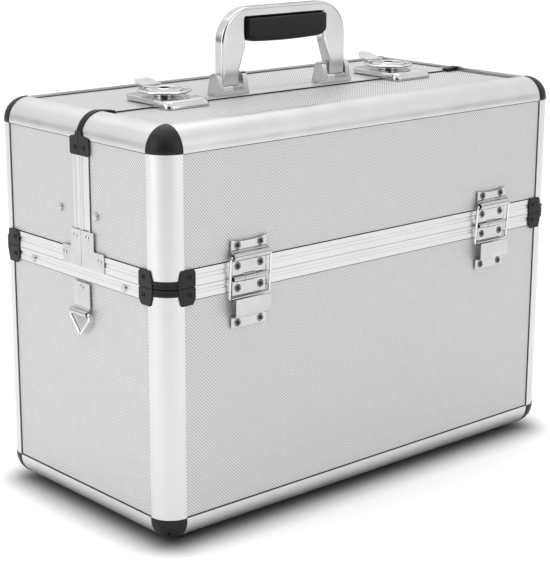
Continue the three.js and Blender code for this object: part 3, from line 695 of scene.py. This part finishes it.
def upper_leaf():
    """Keeper plate with its rolled bead, and the leaf with the middle knuckle."""
    shape = Shape()
    left, right = -HINGE_X - HINGE_HALF, -HINGE_X + HINGE_HALF
    top, sag = PARTING + 31, 2.6
    scoop = [(-HINGE_X + HINGE_HALF * math.cos(a), top - sag * math.sin(a))
             for a in (math.radians(15 * i) for i in range(13))]
    outline = [(right, PARTING + 20), *scoop, (left, PARTING + 20)]
    shape.prism([(z, x) for x, z in outline], "y", -HY - 1.3, -HY - 0.2)
    roll = hinge_face([(1.3, 22.5), (2.4, 21.9), (3.6, 21.0)])
    roll += arc((BEAD.y, BEAD.z), 3.5, 80, 290, 14)
    roll += arc((BEAD.y, BEAD.z), 2.5, 290, 80, 12)
    roll += hinge_face([(3.2, 19.9), (1.9, 20.8), (0.3, 21.4), (0.3, 22.5)])
    shape.prism(roll, "x", -HINGE_X - 18.6, -HINGE_X + 18.6)
    plate = [(-HINGE_X + x, PARTING + z) for x, z in
             [(-17, 2.2), (17, 2.2), (17, 20), (-17, 20)]]
    shape.prism([(z, x) for x, z in plate], "y", -HY - LEAF_OUT, -HY - 0.2)
    shape.rod(KNUCKLE, "x", -HINGE_X - MIDDLE_KNUCKLE, -HINGE_X + MIDDLE_KNUCKLE,
              (BARREL.y, BARREL.z))
    shape.box(-HINGE_X - MIDDLE_KNUCKLE, -HINGE_X + MIDDLE_KNUCKLE, -HY - LEAF_OUT, -HY - 0.3,
              BARREL.z, PARTING + 3)
    return shape


def lower_leaf():
    """Leaf with its two knuckles and the pocket that the bail slides in."""
    shape = Shape()
    inner, outer = MIDDLE_KNUCKLE + 0.2, HINGE_HALF - 1
    for a, b in ((-outer, -inner), (inner, outer)):
        shape.rod(KNUCKLE, "x", -HINGE_X + a, -HINGE_X + b, (BARREL.y, BARREL.z))
        shape.box(-HINGE_X + a, -HINGE_X + b, -HY - LEAF_OUT, -HY - 0.3, PARTING - 4, BARREL.z)
    leaf = rounded([(-17, -3.6), (17, -3.6), (17, -14.3), (-17, -14.3)], [0, 0, 1, 1])
    shape.prism([(PARTING + z, -HINGE_X + x) for x, z in leaf], "y", -HY - LEAF_OUT, -HY - 0.25)
    pocket = hinge_face([(7.4, -16), (7.4, -29.5), (6.6, -30.9), (5, -31.6), (2, -31.8), (1.2, -32.6),
                         (1.2, -40.5), (0.2, -40.5), (0.2, -31.2), (1.2, -30.8), (4.8, -30.6),
                         (6.2, -29.6), (6.5, -28.6), (6.5, -16)])
    shape.prism(pocket, "x", -HINGE_X - HINGE_HALF, -HINGE_X + HINGE_HALF)
    return shape


def bail_path():
    """The stop bail: a rectangle of wire with rounded corners, hanging in the keeper's bead."""
    drop = 34.0
    low_y = -HY - 1.8
    low_z = BEAD.z - math.sqrt(drop ** 2 - (BEAD.y - low_y) ** 2)
    corners = [(-20.5, 0), (20.5, 0), (20.5, 1), (-20.5, 1)]
    flat = rounded([(x, t * drop) for x, t in corners], 2.2, 6)
    return [(-HINGE_X + x, BEAD.y + (low_y - BEAD.y) * t / drop, BEAD.z + (low_z - BEAD.z) * t / drop)
            for x, t in flat]


UPPER_RIVETS = [(-11.7, 25.8, 1.3), (11.7, 25.8, 1.3), (-11.7, 9.2, 1.4), (11.7, 9.2, 1.4)]
LOWER_RIVETS = [(-11.7, -8.4, 1.4), (11.7, -8.4, 1.4), (-11.7, -36.3, 1.2), (11.7, -36.3, 1.2)]

for lid_side, lid_sy in SIDES.items():
    lid = f"{lid_side}_lid"
    put_pair(f"{lid_side}_hinge_leaf_upper_{{end}}", upper_leaf().copy(1, lid_sy), lid, "steel",
             bevel=0.2, replaces=[f"upper_hinge_{lid_side}_{{end}}"])
    put_pair(f"{lid_side}_hinge_leaf_lower_{{end}}", lower_leaf().copy(1, lid_sy), "case", "steel",
             bevel=0.2, replaces=[f"lower_hinge_{lid_side}_{{end}}"])
    # Hinge pin, black so that its ends, just past the knuckles, give the painted shade of the barrel's
    # open ends.
    pin = Shape().rod(1.6, "x", -HINGE_X - HINGE_HALF + 0.85, -HINGE_X + HINGE_HALF - 0.85,
                      (BARREL.y, BARREL.z))
    put_pair(f"{lid_side}_hinge_pin_shade_{{end}}", pin.copy(1, lid_sy), "case", "black")
    put_pair(f"{lid_side}_bail_{{end}}", Shape().tube(bail_path(), BAIL_WIRE, True).copy(1, lid_sy),
             f"{lid_side}_bails", "wire", sharp=60, replaces=[f"bail_{lid_side}_{{end}}"])
    for rides, rivets in ((lid, UPPER_RIVETS), ("case", LOWER_RIVETS)):
        for count, (across, up, out) in enumerate(rivets):
            at = (-HINGE_X + across, -HY - out, PARTING + up)
            put_pair(f"{lid_side}_hinge_rivet_{rides}_{count}_{{end}}",
                     eyelet(at, (0, -1, 0)).copy(1, lid_sy), rides, "rivet")
            # Black disc in each eyelet: painted shade of its hole.
            put_pair(f"{lid_side}_hinge_rivet_hole_{rides}_{count}_{{end}}",
                     eyelet_hole_shade(at, (0, -1, 0)).copy(1, lid_sy), rides, "black")


# ---- Rivets of the tray arms, seen on the end faces ----
for lid_side, lid_sy in SIDES.items():
    for rides, pivot in (("case", "arm"), (f"{lid_side}_lid", "link")):
        at = joint_centre(f"{lid_side}_tray_{pivot}_pivot")
        put_pair(f"{lid_side}_tray_{pivot}_rivet_{{end}}",
                 dome_rivet((-HX - 0.1, at.y, at.z), (-1, 0, 0), 3.1, 1.15, skirt=1.4),
                 rides, "steel")


# ---- D-rings ----
def ring_tab():
    """Folded strap: a plate on the end face whose lower end wraps the ring's bar."""
    half = 10.7
    fold = RING_PIVOT
    inside, outside = RING_BEND
    section = [(fold.z + z, fold.x + x) for x, z in [(3.0, 24.5), (3.0, 3.0), (2.0, 2.8)]]
    section += [(b, a) for a, b in arc((fold.x, fold.z), inside, 70, 300, 12)]
    section += [(b, a) for a, b in arc((fold.x, fold.z), outside, 300, 70, 14)]
    section += [(fold.z + z, fold.x + x) for x, z in [(1.6, 3.6), (2.1, 4.2), (2.1, 24.5)]]
    return Shape().prism(section, "y", fold.y - half, fold.y + half)


def d_ring_path():
    """A straight bar in the strap, short sides, and a point below."""
    half = 12.6
    flat = rounded([(-half, 0), (half, 0), (half, -4.4), (0, -18.6), (-half, -4.4)],
                   [1.6, 1.6, 2.5, 2.2, 2.5], 5)
    return [(RING_PIVOT.x, RING_PIVOT.y + y, RING_PIVOT.z + z) for y, z in flat]


put_pair("ring_strap_{end}", ring_tab(), "case", "steel", bevel=0.12, replaces=["ring_tab_{end}"])
put_pair("d_ring_{end}", Shape().tube(d_ring_path(), RING_WIRE, True), "d_ring_{end}", "wire",
         sharp=60, replaces=["carrying_ring_{end}"])
put_pair("ring_strap_rivet_{end}",
         dome_rivet((-HX - 1.1, RING_PIVOT.y, PARTING - 17.1), (-1, 0, 0)), "case", "steel")


# ---- Handle ----
def handle_arch():
    """Arch whose legs widen towards the bar, with rounded outer corners."""
    low, high = HANDLE_PIVOT.z - 6, limits("handle_frame")[1].z
    half, bar, corner, thick = 71, 9.5, 30, 11.2
    foot_x, under_x, under = half - 19, half - 26, high - bar
    outer = [(half, low), *arc((half - corner, high - corner), corner, 0, 90, 14),
             *arc((corner - half, high - corner), corner, 90, 180, 14), (-half, low)]
    inner = [(-foot_x, low), (-foot_x, low + 12), (-under_x, under - 24), (-under_x, under),
             (under_x, under), (under_x, under - 24), (foot_x, low + 12), (foot_x, low)]
    y = HANDLE_PIVOT.y
    return Shape().prism([(z, x) for x, z in outer + inner], "y", y - thick / 2, y + thick / 2)


def handle_grip():
    """Boxy soft grip under the bar, with rounded lower edges and a slightly full underside."""
    top = limits("handle_frame")[1].z - 9.7
    rings = []
    for i in range(33):
        t = -1 + 2 * i / 32
        swell = 1 - 0.10 * abs(t) ** 16
        depth, height = 10.4 * swell, 19.3 * swell + 1.4 * (1 - t * t)
        outline = [(-depth, 0), (depth, 0), (depth, -height), (-depth, -height)]
        section = rounded(outline, [1.2, 1.2, 5.5, 5.5], 6)
        rings.append([(44.4 * t, HANDLE_PIVOT.y + y, top + z) for y, z in section])
    return Shape().loft(rings)


def handle_clevis():
    """Foot of the handle: a plate with an ear at each side of the leg, and the pin."""
    y0, y1 = HANDLE_PIVOT.y - 8, HANDLE_PIVOT.y + 8
    low = REAR_STRIP_TOP + 0.2
    middle, half, ear = -60, 16.3, 5.2
    side = [(y0, low), *arc((HANDLE_PIVOT.y, HANDLE_PIVOT.z), 5.8, 170, 10, 10), (y1, low)]
    shape = Shape().box(middle - half, middle + half, y0, y1, low, low + 3)
    shape.prism(side, "x", middle - half, middle - half + ear)
    shape.prism(side, "x", middle + half - ear, middle + half)
    pin = 2.0
    shape.rod(pin, "x", middle - half + 1, middle + half - 1, (HANDLE_PIVOT.y, HANDLE_PIVOT.z))
    return shape


put("handle_arch", handle_arch(), "handle", "cast", bevel=2.4, replaces=["handle_frame"])
put("handle_soft_grip", handle_grip(), "handle", "rubber", sharp=60, replaces=["handle_grip"])
put_pair("handle_clevis_{end}", handle_clevis(), "rear_lid", "cast", bevel=0.8,
         replaces=["handle_bracket_{end}"])


# ---- Twist latches ----
base_low, base_high = limits("latch_base_left")
disc_top = limits("latch_rotor_left")[1].z
ring_low = limits("latch_wing_left")[0].z


def latch_base():
    """Plate on the rear lid with rounded rear corners."""
    outline = rounded([(base_low.x, base_low.y), (base_high.x, base_low.y),
                       (base_high.x, base_high.y + 1.5), (base_low.x, base_high.y + 1.5)],
                      [0, 0, 9, 9], 8)
    return Shape().prism(outline, "z", base_low.z, base_high.z)


def latch_catch():
    """Keeper on the front lid: bevelled in front, with rounded front corners."""
    low, high = limits("latch_catch_left")
    left, right, seam = low.x - 2.5, high.x + 2.5, high.y
    rings = []
    for rise, inset in ((0, 0), (2.2, 0), (high.z - low.z - 0.6, 2.4), (high.z - low.z, 3.4)):
        front = low.y - 5 + inset
        outline = rounded([(left + inset / 3, front), (right - inset / 3, front),
                           (right - inset / 3, seam), (left + inset / 3, seam)], [6, 6, 0, 0], 6)
        rings.append([(x, y, low.z + rise) for x, y in outline])
    return Shape().loft(rings)


def latch_disc():
    """Turning disc on a neck, with a rim and a raised boss round its key hole."""
    at = (LATCH.x, LATCH.y, 0)
    low = disc_top - 4
    profile = [(0, low), (15.2, low), (15.6, low + 0.5), (15.6, low + 2.6), (14.9, low + 3.5),
               (12.6, low + 3.8), (12.2, low + 3.5), (6.4, low + 3.5), (5.8, low + 4),
               (4.2, low + 4), (4.2, low + 1), (0, low + 1)]
    neck, neck_low, neck_high = 9, base_high.z + GAP, low + 0.5
    shape = Shape().lathe(profile, at, (0, 0, 1), 48)
    return shape.lathe([(0, neck_low), (neck, neck_low), (neck, neck_high), (0, neck_high)],
                       at, (0, 0, 1), 32)


def latch_hole_shade():
    """Dark cup that lines the key hole in the middle of the disc: painted shade of the hole."""
    return Shape().lathe([(0, -2.9), (4.1, -2.9), (4.1, 0.1), (3.7, 0.1), (3.6, -2.5), (0, -2.5)],
                         (LATCH.x, LATCH.y, disc_top), (0, 0, 1))


def latch_wing():
    """Flat ring round the disc, with a rounded finger tab behind its pivot."""
    middle_radius, half_width, half_height = 20, 2.4, 1.3
    rings = []
    for i in range(64):
        a = 2 * math.pi * i / 64
        ring = []
        for k in range(12):
            b = 2 * math.pi * k / 12
            radius = middle_radius + half_width * math.cos(b)
            ring.append((LATCH.x + radius * math.cos(a), LATCH.y + radius * math.sin(a),
                         ring_low + half_height + half_height * math.sin(b)))
        rings.append(ring)
    shape = Shape().loft(rings, True)
    y, z = WING_PIVOT.y, WING_PIVOT.z
    start, reach, half = -1.6, 18.5, 9.6  # of the tab, which thins and rises to its tip
    sections = []
    for i in range(17):
        t = i / 16
        width = half * math.sqrt(1 - max(0, (t - 0.45) / 0.56) ** 2)
        middle = z + 1.3 + 6.5 * t ** 1.5
        thick = 2.2 - 1.5 * t
        at = y + start + reach * t
        sections.append([(LATCH.x + px, at, middle + pz) for px, pz in
                         ((-width, -thick), (width, -thick), (width, thick), (-width, thick))])
    return shape.loft(sections)


def wing_pin():
    """Pivot pin of the wing, whose ends show at the sides of the tab."""
    return Shape().rod(1.2, "x", LATCH.x - 10, LATCH.x + 10, (WING_PIVOT.y, WING_PIVOT.z))


put_pair("latch_plate_{end}", latch_base(), "rear_lid", "cast", bevel=1.2,
         replaces=["latch_base_{end}"])
put_pair("latch_keeper_{end}", latch_catch(), "front_lid", "cast", bevel=0.5,
         replaces=["latch_catch_{end}"])
put_pair("latch_disc_{end}", latch_disc(), "latch_{end}", "cast", replaces=["latch_rotor_{end}"])
# Black lining of the key hole: painted shade.
put_pair("latch_key_hole_{end}", latch_hole_shade(), "latch_{end}", "black")
put_pair("latch_ring_{end}", latch_wing(), "wing_{end}", "cast", bevel=0.4,
         replaces=["latch_wing_{end}"])
put_pair("latch_pin_{end}", wing_pin(), "rear_lid", "black")


# ---- Dark lines where the boards meet their profiles: painted shade of the gap under each lip ----
def gap_shade(axis, face, out, u, v, skip=()):
    """Thin dark frame laid on a board, along the four sides of u by v, as painted shade. skip leaves
    sides out.
    """
    (u0, u1), (v0, v1) = u, v
    line = 0.7
    strips = {"u0": (u0, u0 + line, v0, v1), "u1": (u1 - line, u1, v0, v1),
              "v0": (u0, u1, v0, v0 + line), "v1": (u0, u1, v1 - line, v1)}
    near, far = sorted((face, face + 0.3 * out))
    shape = Shape()
    for side, (a, b, c, d) in strips.items():
        if side in skip:
            continue
        if axis == "x":
            shape.box(near, far, a, b, c, d)
        elif axis == "y":
            shape.box(a, b, near, far, c, d)
        else:
            shape.box(a, b, c, d, near, far)
    return shape


board_x, board_y = HX - EDGE - LIP, HY - EDGE - LIP
BOARD_IN = 1.2  # boards sit this far behind the profiles
box_heights = (BASE + EDGE + LIP, PARTING - LOWER_RIM)
lid_heights = (PARTING + UPPER_RIM, TOP - EDGE - LIP)
# Black lines on each board beside its profiles' lips: painted shade of the gap there.
put_pair("box_{end}_border", gap_shade("x", -HX + BOARD_IN, -1, (-board_y, board_y), box_heights),
         "case", "rubber")
for lid_side, lid_sy in SIDES.items():
    lid = f"{lid_side}_lid"
    seam_y = -HY + LID_DEPTH[lid_side]
    put(f"box_{lid_side}_border",
        gap_shade("y", -HY + BOARD_IN, -1, (-board_x, board_x), box_heights).copy(1, lid_sy),
        "case", "rubber")
    put(f"{lid_side}_lid_border",
        gap_shade("y", -HY + BOARD_IN, -1, (-board_x, board_x), lid_heights).copy(1, lid_sy),
        lid, "rubber")
    put_pair(f"{lid_side}_lid_{{end}}_border",
             gap_shade("x", -HX + BOARD_IN, -1, (-board_y, seam_y - STRIP[lid_side]), lid_heights)
             .copy(1, lid_sy), lid, "rubber")
    back = seam_y - (15.2 if lid_side == "rear" else 1.6)
    put(f"{lid_side}_lid_top_border",
        gap_shade("z", TOP_FACE[lid_side], 1, (-board_x, board_x), (-board_y, back),
               skip=["v1"]).copy(1, lid_sy), lid, "rubber")
# Black strip on the front lid's top along the seam: painted shade of the gap under the rear lid's
# higher edge.
seam_shade_y = -HY + LID_DEPTH["front"] - GAP / 2
put("front_lid_seam_shade",
    Shape().box(-HX + EDGE + CLIP_END, HX - EDGE - CLIP_END, seam_shade_y - 1.3, seam_shade_y,
                TOP_FACE["front"] + 0.22, TOP_FACE["front"] + 1.0), "front_lid", "rubber")


# ---- Lining and tray fittings ----
LINER = 0.8
TRAY_END = 11.3  # tray ends, in from the case's end faces
DIVIDER_X = 75
LINER_SHORT = 2.4  # linings end this far from the parting plane
inner_x, inner_y = HX - WALL - 0.1, HY - WALL - 0.1
floor_z = BASE + WALL + 0.1
tub_top = PARTING - LINER_SHORT
lining = Shape().box(-inner_x, inner_x, -inner_y, inner_y, floor_z, floor_z + LINER)
for sx in (-1, 1):
    lining.box(*sorted((sx * inner_x, sx * (inner_x - LINER))), -inner_y, inner_y, floor_z, tub_top)
    lining.box(-inner_x, inner_x, *sorted((sx * inner_y, sx * (inner_y - LINER))), floor_z, tub_top)
put("box_lining", lining, "case", "liner")
for lid_side, lid_sy in SIDES.items():
    lid_low = PARTING + LINER_SHORT
    lid_top = TOP_FACE[lid_side] - 0.1 - (WALL - BOARD_IN)
    seam_y = -HY + LID_DEPTH[lid_side] - 3
    lining = Shape().box(-inner_x, inner_x, -inner_y, seam_y, lid_top - LINER, lid_top)
    lining.box(-inner_x, inner_x, -inner_y, -inner_y + LINER, lid_low, lid_top)
    for sx in (-1, 1):
        lining.box(*sorted((sx * inner_x, sx * (inner_x - LINER))), -inner_y, seam_y,
                   lid_low, lid_top)
    put(f"{lid_side}_lid_lining", lining.copy(1, lid_sy), f"{lid_side}_lid", "liner")

    low, high = limits(f"{lid_side}_tray")
    lip_x = HX - TRAY_END - 1.1
    lip = rounded([(-lip_x, low.y + 0.8), (lip_x, low.y + 0.8),
                   (lip_x, high.y - 0.8), (-lip_x, high.y - 0.8)], 1.5, 4)
    put(f"{lid_side}_tray_lip", Shape().tube([(x, y, high.z) for x, y in lip], 1.0, True, 8),
        f"{lid_side}_tray", "tray", sharp=60)
    for count, x in enumerate((-DIVIDER_X, DIVIDER_X)):
        put(f"{lid_side}_tray_divider_{count}",
            Shape().box(x - 0.7, x + 0.7, low.y + 1.7, high.y - 1.7, low.z + 1.7, high.z - 4),
            f"{lid_side}_tray", "tray", bevel=0.4)


# ---- Pieces that keep their CAD shape ----
KEPT = {"box_tub": "board", "front_lid_cover": "board", "rear_lid_cover": "board",
        "front_tray": "tray", "rear_tray": "tray"}
for name, obj in frame["nodes"].items():
    if name.startswith("foot"):
        KEPT[name] = "rubber"
    if "tray_arm" in name or "tray_link" in name:
        KEPT[name] = "steel"
for name, look in KEPT.items():
    kept = frame["nodes"][name]
    kept.data.materials.clear()
    kept.data.materials.append(LOOKS[look][0])

# ---- Floor, light and camera ----
def add_floor():
    """White floor with a painted contact shadow, darkened softly under the case and for a few
    centimetres round it.
    """
    # Painted contact shadow: darkest this far in from the case's sides, fading to white over this
    # width, in millimetres.
    painted_shadow_inset, painted_shadow_width = 24, 52
    bpy.ops.mesh.primitive_plane_add(size=60, location=(0, 0, 0))
    floor = bpy.context.object
    floor.name = "floor"
    material, tree, shader = new_material("floor_white_painted_shadow", (0.96, 0.96, 0.96), 0, 0.8)
    place = node(tree, "ShaderNodeTexCoord")
    size = node(tree, "ShaderNodeVectorMath", operation="ABSOLUTE")
    outside = node(tree, "ShaderNodeVectorMath", operation="SUBTRACT")
    outside.inputs[1].default_value = ((HX - painted_shadow_inset) * MM, (HY - painted_shadow_inset) * MM, 1)
    clipped = node(tree, "ShaderNodeVectorMath", operation="MAXIMUM")
    length = node(tree, "ShaderNodeVectorMath", operation="LENGTH")
    # The painted shadow: the floor's colour ramps from dark at the case to white further out.
    painted_shadow = node(tree, "ShaderNodeMapRange", interpolation_type="SMOOTHSTEP")
    painted_shadow.inputs["From Max"].default_value = painted_shadow_width * MM
    painted_shadow.inputs["To Min"].default_value = 0.05
    painted_shadow.inputs["To Max"].default_value = 0.96
    # Glow that brightens the floor, dimmed along with the painted shadow near the case.
    glow = node(tree, "ShaderNodeMath", operation="MULTIPLY")
    glow.inputs[1].default_value = 0.15
    tree.links.new(place.outputs["Object"], size.inputs[0])
    tree.links.new(size.outputs["Vector"], outside.inputs[0])
    tree.links.new(outside.outputs["Vector"], clipped.inputs[0])
    tree.links.new(clipped.outputs["Vector"], length.inputs[0])
    tree.links.new(length.outputs["Value"], painted_shadow.inputs["Value"])
    tree.links.new(painted_shadow.outputs["Result"], shader.inputs["Base Color"])
    tree.links.new(painted_shadow.outputs["Result"], glow.inputs[0])
    tree.links.new(glow.outputs["Value"], shader.inputs["Emission Strength"])
    shader.inputs["Emission Color"].default_value = (1, 1, 1, 1)
    floor.data.materials.append(material)


def add_light(name, place, size, power):
    """A soft rectangular light, turned towards the middle of the case. Metres and watts."""
    data = bpy.data.lights.new(name, "AREA")
    data.shape = "RECTANGLE"
    data.size, data.size_y = size
    data.energy = power
    light = bpy.data.objects.new(name, data)
    light.location = place
    aim = Vector((0, 0, 0.15)) - Vector(place)
    light.rotation_euler = aim.to_track_quat("-Z", "Y").to_euler()
    bpy.context.scene.collection.objects.link(light)


def add_camera():
    """The photo's camera, from a fit to the case's corners and parting line. Metres."""
    data = bpy.data.cameras.new("camera")
    data.lens = 105.098
    data.sensor_width = 36
    camera = bpy.data.objects.new("camera", data)
    camera.location = (-0.95009, -1.05263, 0.53579)
    camera.rotation_euler = Euler([math.radians(a) for a in (75.147, -0.211, -41.604)])
    bpy.context.scene.collection.objects.link(camera)
    bpy.context.scene.camera = camera


def add_world():
    """A bright dome, darker at the horizon and behind the camera, which gives metal its contrast."""
    world = bpy.data.worlds.new("studio")
    bpy.context.scene.world = world
    world.use_nodes = True
    tree = world.node_tree
    place = node(tree, "ShaderNodeTexCoord")
    xyz = node(tree, "ShaderNodeSeparateXYZ")
    ramp = node(tree, "ShaderNodeValToRGB")
    tree.links.new(place.outputs["Generated"], xyz.inputs["Vector"])
    tree.links.new(xyz.outputs["Z"], ramp.inputs["Fac"])
    stops = [(0, 0.30), (0.10, 0.38), (0.26, 1.0), (1, 1.0)]
    while len(ramp.color_ramp.elements) < len(stops):
        ramp.color_ramp.elements.new(1)
    for element, (height, grey) in zip(ramp.color_ramp.elements, stops):
        element.position = height
        element.color = (grey, grey, grey, 1)
    towards_camera = node(tree, "ShaderNodeVectorMath", operation="DOT_PRODUCT")
    towards_camera.inputs[1].default_value = (-0.66, -0.75, 0.05)
    shade = node(tree, "ShaderNodeMapRange", interpolation_type="SMOOTHSTEP")
    shade.inputs["From Min"].default_value = 0.68
    shade.inputs["From Max"].default_value = 0.92
    shade.inputs["To Min"].default_value = 1.05
    shade.inputs["To Max"].default_value = 0.02
    background = tree.nodes["Background"]
    tree.links.new(place.outputs["Generated"], towards_camera.inputs[0])
    tree.links.new(towards_camera.outputs["Value"], shade.inputs["Value"])
    tree.links.new(shade.outputs["Result"], background.inputs["Strength"])
    tree.links.new(ramp.outputs["Color"], background.inputs["Color"])


add_world()
add_floor()
add_light("overhead", (0.2, 0.6, 2.4), (2.4, 2.4), 16)
add_light("left_softbox", (-2.2, 0.3, 1.0), (1.2, 1.8), 11)
add_light("front_softbox", (0.6, -2.6, 1.0), (1.6, 1.6), 9)
add_camera()
bpy.context.scene.view_settings.view_transform = "Standard"
